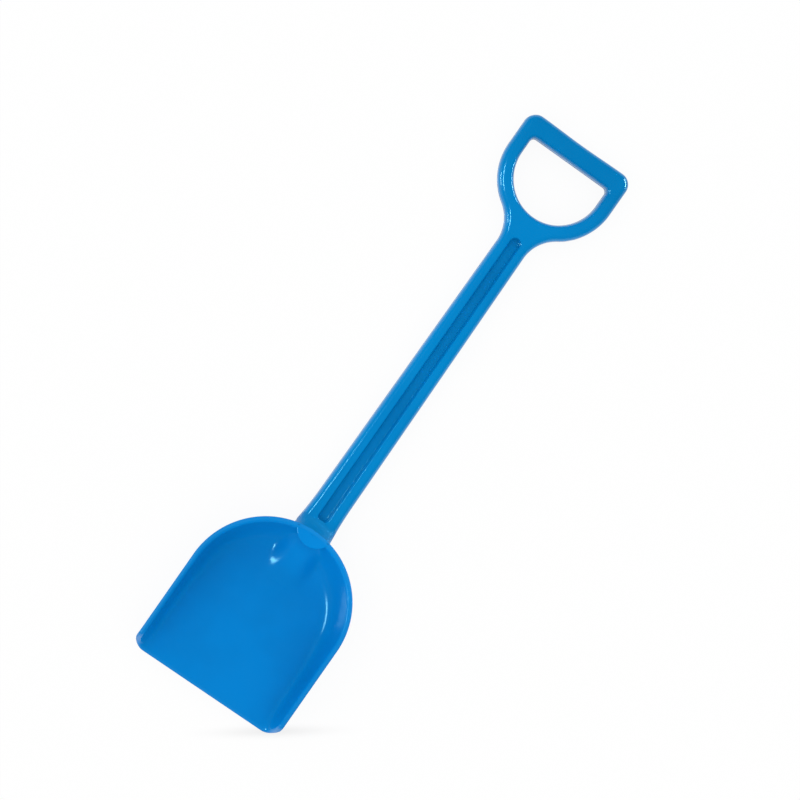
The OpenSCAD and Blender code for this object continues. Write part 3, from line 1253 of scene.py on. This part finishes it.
@dataclass(frozen=True)
class Grower:
    """Shared steps of the pieces that Geometry Nodes make."""

    def inputs(self) -> dict[str, tuple[str, Setting]]:
        """Returns the named inputs, each with its socket type and value."""
        raise NotImplementedError

    def nodes(self, graph: "Graph", taken: dict[str, Channel]) -> Channel:
        """Returns the geometry that the nodes make from the named inputs."""
        raise NotImplementedError

    def grow(self, piece: bpy.types.Object, material: bpy.types.Material) -> bpy.types.Object:
        """Gives a piece the geometry that the nodes make, as a plain mesh.

        Args:
            piece: Object whose mesh the nodes start from.
            material: Material of the result.

        Returns:
            The same object, with its new mesh.
        """
        tree = bpy.data.node_groups.new(piece.name, "GeometryNodeTree")
        graph = Graph(tree)
        geometry = "NodeSocketGeometry"
        tree.interface.new_socket("Geometry", in_out="OUTPUT", socket_type=geometry)
        wanted = {"Geometry": (geometry, None), "Material": ("NodeSocketMaterial", material), **self.inputs()}
        sockets = {name: tree.interface.new_socket(name, in_out="INPUT", socket_type=kind)
                   for name, (kind, _) in wanted.items()}
        source = tree.nodes.new("NodeGroupInput")
        taken = {name: Channel(graph, source.outputs[name]) for name in wanted}
        made = graph.node("GeometryNodeRealizeInstances", {}, {0: self.nodes(graph, taken)})
        dressed = graph.node("GeometryNodeSetMaterial", {}, {"Geometry": made, "Material": taken["Material"]})
        graph.node("NodeGroupOutput", {}, {"Geometry": dressed})
        modifier = piece.modifiers.new("grow", "NODES")
        modifier.node_group = tree
        for name, (_, value) in wanted.items():
            if value is not None:
                modifier[sockets[name].identifier] = value
        grown = piece.evaluated_get(bpy.context.evaluated_depsgraph_get())
        mesh = bpy.data.meshes.new_from_object(grown)
        piece.modifiers.remove(modifier)
        piece.data = mesh
        return piece


@dataclass(frozen=True)
class PathBead(Grower):
    """A round bead along the edges of a piece.

    Args:
        radius: Radius of the bead.
        sides: Sides of its profile.
    """

    radius: float
    sides: int = 8

    def inputs(self) -> dict[str, tuple[str, Setting]]:
        """Returns the bead's size."""
        return {"Radius": ("NodeSocketFloat", self.radius), "Sides": ("NodeSocketInt", self.sides)}

    def nodes(self, graph: Graph, taken: dict[str, Channel]) -> Channel:
        """Sweeps the bead along the path.

        Args:
            graph: Nodes of the piece.
            taken: The named inputs.

        Returns:
            The bead's geometry.
        """
        path = graph.node("GeometryNodeMeshToCurve", {}, {0: taken["Geometry"]})
        profile = graph.node(
            "GeometryNodeCurvePrimitiveCircle", {}, {"Resolution": taken["Sides"], "Radius": taken["Radius"]})
        feeds = {"Curve": path, "Profile Curve": profile, "Fill Caps": True}
        bead = graph.node("GeometryNodeCurveToMesh", {}, feeds)
        return graph.node("GeometryNodeSetShadeSmooth", {}, {0: bead})


@dataclass(frozen=True)
class DiscRow(Grower):
    """A row of flat discs at even steps.

    Args:
        count: Number of discs.
        radius: Radius of each.
        height: Thickness of each.
        start: Middle of the first.
        step: Way from each to the next.
        sides: Sides of each disc's outline.
    """

    count: int
    radius: float
    height: float
    start: tuple[float, float, float]
    step: tuple[float, float, float]
    sides: int = 48

    def inputs(self) -> dict[str, tuple[str, Setting]]:
        """Lists the number, the size and the places of the discs.

        Returns:
            The inputs by name.
        """
        return {
            "Count": ("NodeSocketInt", self.count),
            "Radius": ("NodeSocketFloat", self.radius),
            "Height": ("NodeSocketFloat", self.height),
            "Start": ("NodeSocketVector", self.start),
            "Step": ("NodeSocketVector", self.step),
        }

    def nodes(self, graph: Graph, taken: dict[str, Channel]) -> Channel:
        """Sets the discs on the points of a line.

        Args:
            graph: Nodes of the piece.
            taken: The named inputs.

        Returns:
            The discs' geometry.
        """
        feeds = {"Count": taken["Count"], "Start Location": taken["Start"], "Offset": taken["Step"]}
        line = graph.node("GeometryNodeMeshLine", {}, feeds)
        feeds = {"Vertices": self.sides, "Radius": taken["Radius"], "Depth": taken["Height"]}
        disc = graph.node("GeometryNodeMeshCylinder", {}, feeds)
        return graph.node("GeometryNodeInstanceOnPoints", {}, {"Points": line, "Instance": disc})


@dataclass(frozen=True)
class EdgeWear:
    """Dulling where sand rubs the blade's rim and digging edge.

    Args:
        arch_y: Centre of the heel's arch.
        rim: Distances from the blade's middle between which the wear sets in.
        dig: Places along the blade between which the digging edge's wear ends.
        roughness: Roughness that the full wear adds.
    """

    arch_y: float
    rim: tuple[float, float]
    dig: tuple[float, float]
    roughness: float = 0.24

    def share(self, x: Channel, y: Channel) -> Channel:
        """Returns how worn the surface is.

        Args:
            x: Place across the blade.
            y: Place along the blade.

        Returns:
            The wear, from 0 to 1.
        """
        back = (y - self.arch_y).greater_of(0.0)
        out = (x * x + back * back) ** 0.5
        return out.eased(*self.rim).greater_of(y.eased(*self.dig, 1.0, 0.0))


@dataclass(frozen=True)
class MouldedPlastic:
    """Glossy self-coloured polypropylene as it comes from the mould, lightly handled.

    Args:
        name: Name of the material.
        light: Colour where the melt flowed freely.
        deep: Colour where it lies a little denser.
        painted_light_range: Places along the shovel between which painted light and shade scale the colour.
        painted_light_tone: Scale of the colour after that change, where 1 leaves it as it is; above 1 is
            painted light, below 1 painted shade.
        roughness: Roughness of the clean surface.
        wear: Where sand has dulled it, if anywhere.
        scratch_stretch: Scale of the fine scratches, which run along the axis with the least.
        scratch_share: How much the scratches show.
        specular: Strength of the gloss.
        sheen: Tint of the gloss.
        flow_scale: Scale of the flow's mottling.
        flow_detail: Its detail.
        flow_roughness: Its roughness as a noise.
        flow_range: Values of that noise between which the colour changes.
        smudge_scale: Scale of the smudges that hands leave.
        smudge_detail: Their detail.
        smudge_roughness: Roughness that they add or take.
        patch_scale: Scale of the patches in which scratches lie.
        patch_range: Values of the noise between which patches of scratches set in.
        scratch_scale: Scale of the scratches.
        scratch_detail: Their detail.
        scratch_range: Values of the noise between which a scratch sets in.
        scratch_roughness: Roughness that a scratch adds.
        scratch_depth: Depth of a scratch.
        peel_size: Size of the skin's faint waves.
        peel_height: Their height.
        bump_strength: Strength of both.
    """

    name: str
    light: tuple[float, float, float, float]
    deep: tuple[float, float, float, float]
    painted_light_range: tuple[float, float]
    painted_light_tone: float
    roughness: float = 0.13
    wear: EdgeWear | None = None
    scratch_stretch: tuple[float, float, float] = (1.0, 0.03, 1.0)
    scratch_share: float = 0.5
    specular: float = 0.35
    sheen: tuple[float, float, float, float] = (0.30, 0.88, 1.0, 1.0)
    flow_scale: float = 20.0
    flow_detail: float = 3.0
    flow_roughness: float = 0.55
    flow_range: tuple[float, float] = (0.35, 0.65)
    smudge_scale: float = 55.0
    smudge_detail: float = 3.0
    smudge_roughness: float = 0.06
    patch_scale: float = 27.5
    patch_range: tuple[float, float] = (0.45, 0.62)
    scratch_scale: float = 2600.0
    scratch_detail: float = 1.0
    scratch_range: tuple[float, float] = (0.64, 0.74)
    scratch_roughness: float = 0.10
    scratch_depth: float = 0.004 * MM
    peel_size: float = 2.4 * MM
    peel_height: float = 0.006 * MM
    bump_strength: float = 0.6

    def material(self) -> bpy.types.Material:
        """Makes the finish's material.

        Returns:
            The material.
        """
        made = bpy.data.materials.new(self.name)
        made.use_nodes = True
        graph = Graph(made.node_tree)
        place = graph.place()
        flow = graph.noise(place, self.flow_scale, self.flow_detail, self.flow_roughness)
        mottle = graph.blend(flow.eased(*self.flow_range), self.deep, self.light)
        x, y, _ = graph.axes(place)
        # Painted light and shade: the colour is scaled along Y between two places, lighter or darker as light
        # fell there.
        painted_light_tone = y.eased(*self.painted_light_range, 1.0, self.painted_light_tone)
        colour = graph.node("ShaderNodeVectorMath", {"operation": "SCALE"}, {0: mottle, "Scale": painted_light_tone})
        smudge = graph.noise(place, self.smudge_scale, self.smudge_detail) - NOISE_MIDDLE
        lines = graph.noise(graph.place(self.scratch_stretch), self.scratch_scale, self.scratch_detail)
        patches = graph.noise(place, self.patch_scale).eased(*self.patch_range)
        scratch = lines.eased(*self.scratch_range) * patches * self.scratch_share
        rough = self.roughness + smudge * self.smudge_roughness + scratch * self.scratch_roughness
        if self.wear:
            rough = rough + self.wear.share(x, y) * self.wear.roughness
        peel = graph.noise(place, 1.0 / self.peel_size)
        height = peel * self.peel_height - scratch * self.scratch_depth
        bump = graph.node(
            "ShaderNodeBump", {}, {"Strength": self.bump_strength, "Distance": 1.0, "Height": height})
        shader = graph.node("ShaderNodeBsdfPrincipled", {}, {
            "Base Color": colour, "Roughness": rough, "Normal": bump, "Specular IOR Level": self.specular,
            "Specular Tint": self.sheen})
        graph.node("ShaderNodeOutputMaterial", {}, {"Surface": shader})
        return made


@dataclass(frozen=True)
class Softbox:
    """A soft rectangular light that faces the shovel and shows only as a streak in its gloss.

    Args:
        name: Name of the light.
        azimuth: Direction from the shovel round the vertical, in degrees from +X.
        polar: Angle from straight up, in degrees.
        distance: Distance from the point it faces.
        width: Size across its long side.
        length: Size along its long side.
        radiance: Brightness of its face, where 1 is white.
        lit: The one moulding that it is flagged off from all others for, if any.
        aim: Point that it faces.
    """

    name: str
    azimuth: float
    polar: float
    distance: float
    width: float
    length: float
    radiance: float
    lit: Node | None = None
    aim: tuple[float, float, float] = (0.0, 0.0, 0.01)

    def build(self, pieces: dict[Node, list[bpy.types.Object]]) -> bpy.types.Object:
        """Makes the light.

        Args:
            pieces: The pieces of each moulding.

        Returns:
            The light, linked to the scene.
        """
        data = bpy.data.lights.new(self.name, "AREA")
        data.shape = "RECTANGLE"
        data.size = self.width
        data.size_y = self.length
        data.energy = self.radiance * math.pi * self.width * self.length
        lamp = bpy.data.objects.new(self.name, data)
        azimuth, polar = math.radians(self.azimuth), math.radians(self.polar)
        flat = math.sin(polar)
        out = Vector((math.cos(azimuth) * flat, math.sin(azimuth) * flat, math.cos(polar)))
        along = Vector((-math.sin(azimuth), math.cos(azimuth), 0.0))
        turn = Matrix((along.cross(out), along, out)).transposed().to_4x4()
        lamp.matrix_world = Matrix.Translation(Vector(self.aim) + out * self.distance) @ turn
        bpy.context.scene.collection.objects.link(lamp)
        lamp.visible_diffuse = False
        if self.lit:
            group = bpy.data.collections.new(self.name)
            for piece in pieces[self.lit]:
                group.objects.link(piece)
            lamp.light_linking.receiver_collection = group
        return lamp


@dataclass(frozen=True)
class Camera:
    """The camera, at the photograph's viewing angle.

    Args:
        yaw: Tilt of the view to the side, in degrees.
        pitch: Tilt of the view along the shovel, in degrees.
        roll: Turn of the picture, in degrees.
        target: Point in the middle of the picture.
        distance: Distance from that point.
        sensor: Width of the sensor, in millimetres.
        lens: Focal length, in millimetres.
    """

    yaw: float = 4.59
    pitch: float = 0.75
    roll: float = 35.02
    target: tuple[float, float, float] = (-2.56 * MM, 12.53 * MM, 8.0 * MM)
    distance: float = 1.2319
    sensor: float = 36.0
    lens: float = 87.75

    def build(self) -> bpy.types.Object:
        """Makes the camera and sets it as the scene's own.

        Returns:
            The camera.
        """
        yaw, pitch, roll = math.radians(self.yaw), math.radians(self.pitch), math.radians(self.roll)
        toward = Vector((-math.sin(yaw) * math.cos(pitch), math.sin(pitch), math.cos(yaw) * math.cos(pitch)))
        right = Vector((-math.sin(roll), math.cos(roll), 0.0)).cross(toward).normalized()
        data = bpy.data.cameras.new("camera")
        data.sensor_width = self.sensor
        data.lens = self.lens
        camera = bpy.data.objects.new("camera", data)
        turn = Matrix((right, toward.cross(right), toward)).transposed().to_4x4()
        camera.matrix_world = Matrix.Translation(Vector(self.target) + toward * self.distance) @ turn
        bpy.context.scene.collection.objects.link(camera)
        bpy.context.scene.camera = camera
        return camera


@dataclass(frozen=True)
class Ground:
    """The white floor under the shovel, with the photograph's faint shadow at the blade's corner.

    The floor is white to the camera and in reflections, keeps a small share of the real shadows,
    and can be seen through from below. The shadow at the blade's corner is painted shade in the
    floor's white, not cast by any lamp.

    Args:
        size: Length of the floor's sides.
        drop: How far it lies under the shovel.
        albedo: Brightness of the matt floor that takes the real shadows.
        shadow_share: Share of those shadows that shows.
        corner: Middle of the painted shadow at the blade's corner.
        turn: Direction of that shadow, in degrees from +X.
        painted_shadow_reach: Half its length.
        painted_shadow_depth: Half its width.
        painted_shadow_darkness: How much it darkens the floor.
    """

    size: float = 8.0
    drop: float = 0.1 * MM
    albedo: float = 0.85
    shadow_share: float = 0.07
    corner: tuple[float, float] = (52.6 * MM, -208.4 * MM)
    turn: float = 35.6
    painted_shadow_reach: float = 74.0 * MM
    painted_shadow_depth: float = 7.5 * MM
    painted_shadow_darkness: float = 0.12

    def material(self) -> bpy.types.Material:
        """Makes the floor's material.

        Returns:
            The material.
        """
        made = bpy.data.materials.new("white_floor_painted_shadow")
        made.use_nodes = True
        graph = Graph(made.node_tree)
        coordinates = graph.node("ShaderNodeTexCoord", {}, {}, "Object")
        # Painted shadow: a soft ellipse at the blade's corner darkens the floor's white emission; no lamp
        # casts it.
        local = graph.node("ShaderNodeMapping", {"vector_type": "TEXTURE"}, {
            "Vector": coordinates, "Location": (*self.corner, 0.0),
            "Rotation": (0.0, 0.0, math.radians(self.turn)),
            "Scale": (self.painted_shadow_reach, self.painted_shadow_depth, 1.0)})
        x, y, _ = graph.axes(local)
        away = (x * x + y * y) ** 0.5
        near = away.eased(0.0, 1.0, 1.0, 0.0)
        white = 1.0 - near * near * self.painted_shadow_darkness
        path = graph.node("ShaderNodeLightPath").socket.node.outputs
        seen = Channel(graph, path["Is Camera Ray"])
        for name in ("Is Glossy Ray", "Is Transmission Ray"):
            seen = seen.greater_of(Channel(graph, path[name]))
        matt = graph.node("ShaderNodeBsdfDiffuse", {}, {"Color": (self.albedo,) * 3 + (1.0,)})
        plain = graph.node("ShaderNodeEmission", {}, {"Color": WHITE, "Strength": white})
        cover = seen * (1.0 - self.shadow_share)
        shown = graph.node("ShaderNodeMixShader", {}, {0: cover, 1: matt, 2: plain})
        clear = graph.node("ShaderNodeBsdfTransparent")
        behind = graph.node("ShaderNodeNewGeometry", {}, {}, "Backfacing")
        surface = graph.node("ShaderNodeMixShader", {}, {0: behind, 1: shown, 2: clear})
        graph.node("ShaderNodeOutputMaterial", {}, {"Surface": surface})
        return made

    def build(self) -> bpy.types.Object:
        """Makes the floor.

        Returns:
            The floor.
        """
        half = self.size / 2
        mesh = bpy.data.meshes.new("floor")
        corners = [(-half, -half), (half, -half), (half, half), (-half, half)]
        mesh.from_pydata([(x, y, -self.drop) for x, y in corners], [], [(0, 1, 2, 3)])
        floor = bpy.data.objects.new("floor", mesh)
        bpy.context.scene.collection.objects.link(floor)
        mesh.materials.append(self.material())
        return floor


@dataclass(frozen=True)
class Studio:
    """The soft lights and the room round the shovel.

    Args:
        low_light: Level of the room's light from the sides.
        high_light: Its level from above.
        left_share: Share by which it is stronger from the left.
        light_heights: Heights between which it changes, where 1 is straight up.
        gloss_low: Level of the room at the sides as the gloss shows it.
        gloss_high: That level above.
        gloss_heights: Heights between which it changes.
        softboxes: The strips that show as streaks in the gloss.
    """

    low_light: float = 1.0
    high_light: float = 1.18
    left_share: float = 0.2
    light_heights: tuple[float, float] = (0.1, 0.9)
    gloss_low: float = 0.10
    gloss_high: float = 0.0
    gloss_heights: tuple[float, float] = (0.05, 0.5)
    softboxes: tuple[Softbox, ...] = (
        Softbox("blade_strip", azimuth=227.0, polar=48.0, distance=2.05, width=0.34, length=0.66,
                radiance=26.0, lit=Node.BLADE),
        Softbox("handle_strip", azimuth=201.0, polar=39.5, distance=2.04, width=0.30, length=0.70,
                radiance=26.0, lit=Node.HANDLE),
        Softbox("low_handle_strip", azimuth=205.0, polar=86.0, distance=1.5, width=0.16, length=0.40,
                radiance=26.0, lit=Node.HANDLE),
        Softbox("right_strip", azimuth=46.0, polar=79.0, distance=1.5, width=0.26, length=1.10,
                radiance=27.0),
    )

    def world(self) -> None:
        """Lights the scene from all round, white where the camera looks past the floor.

        Glossy rays see a dark room, because the photograph's faces show no sheen between the
        softboxes' streaks.
        """
        world = bpy.data.worlds.new("room")
        world.use_nodes = True
        graph = Graph(world.node_tree)
        path = graph.node("ShaderNodeLightPath").socket.node.outputs
        seen = Channel(graph, path["Is Camera Ray"])
        glossy, through = (Channel(graph, path[name]) for name in ("Is Glossy Ray", "Is Transmission Ray"))
        mirrored = glossy.greater_of(through)
        direction = graph.node("ShaderNodeTexCoord", {}, {}, "Generated")
        across, _, height = graph.axes(direction)
        spread = height.eased(*self.light_heights, self.low_light, self.high_light)
        spread = spread * (1.0 - across * self.left_share)
        gloss = height.eased(*self.gloss_heights, self.gloss_low, self.gloss_high)
        level = spread * (1.0 - mirrored) + gloss * mirrored
        level = level * (1.0 - seen) + seen
        background = graph.node("ShaderNodeBackground", {}, {"Color": WHITE, "Strength": level})
        graph.node("ShaderNodeOutputWorld", {}, {"Surface": background})
        bpy.context.scene.world = world

    def build(self, pieces: dict[Node, list[bpy.types.Object]]) -> None:
        """Builds the room, the softboxes, the floor and the camera.

        Args:
            pieces: The pieces of each moulding.
        """
        self.world()
        for softbox in self.softboxes:
            softbox.build(pieces)
        Ground().build()
        Camera().build()
        bpy.context.scene.view_settings.view_transform = "Standard"


def main() -> None:
    """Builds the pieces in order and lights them."""
    logging.basicConfig(level=logging.INFO, format="%(name)s: %(message)s")
    blade, handle = Blade(), Handle()
    # One blue plastic in three slightly different base colours, set by how each moulding came out lit:
    # painted light and shade. The blade's heel is a tenth lighter as painted light where its hump and nose
    # catch the light.
    blade_finish = MouldedPlastic(
        "blade_blue", light=(0.0003, 0.210, 0.605, 1.0), deep=(0.0003, 0.194, 0.565, 1.0),
        painted_light_range=(-128.0 * MM, -100.0 * MM), painted_light_tone=1.10, roughness=0.16, wear=blade.wear(),
        scratch_share=0.8).material()
    # Painted shade: the handle's blue darkens toward the grip's bar.
    handle_finish = MouldedPlastic(
        "handle_blue", light=(0.0003, 0.222, 0.565, 1.0), deep=(0.0003, 0.206, 0.535, 1.0),
        painted_light_range=(150.0 * MM, 198.0 * MM), painted_light_tone=0.86, roughness=0.13,
        scratch_share=0.3, specular=0.5).material()
    # Painted shade: the foot's fillet has a darker copy of the handle's blue; its higher roughness and weaker
    # gloss only spread its highlights.
    foot_finish_painted_shade = MouldedPlastic(
        "foot_blue_painted_shade", light=(0.0003, 0.205, 0.525, 1.0), deep=(0.0003, 0.190, 0.495, 1.0),
        painted_light_range=(150.0 * MM, 198.0 * MM), painted_light_tone=1.0, roughness=0.38,
        scratch_share=0.3, specular=0.15).material()
    pieces = {
        Node.BLADE: blade.pieces(blade_finish),
        Node.HANDLE: handle.pieces(handle_finish, foot_finish_painted_shade),
    }
    Studio().build(pieces)


if __name__ == "__main__":
    main()
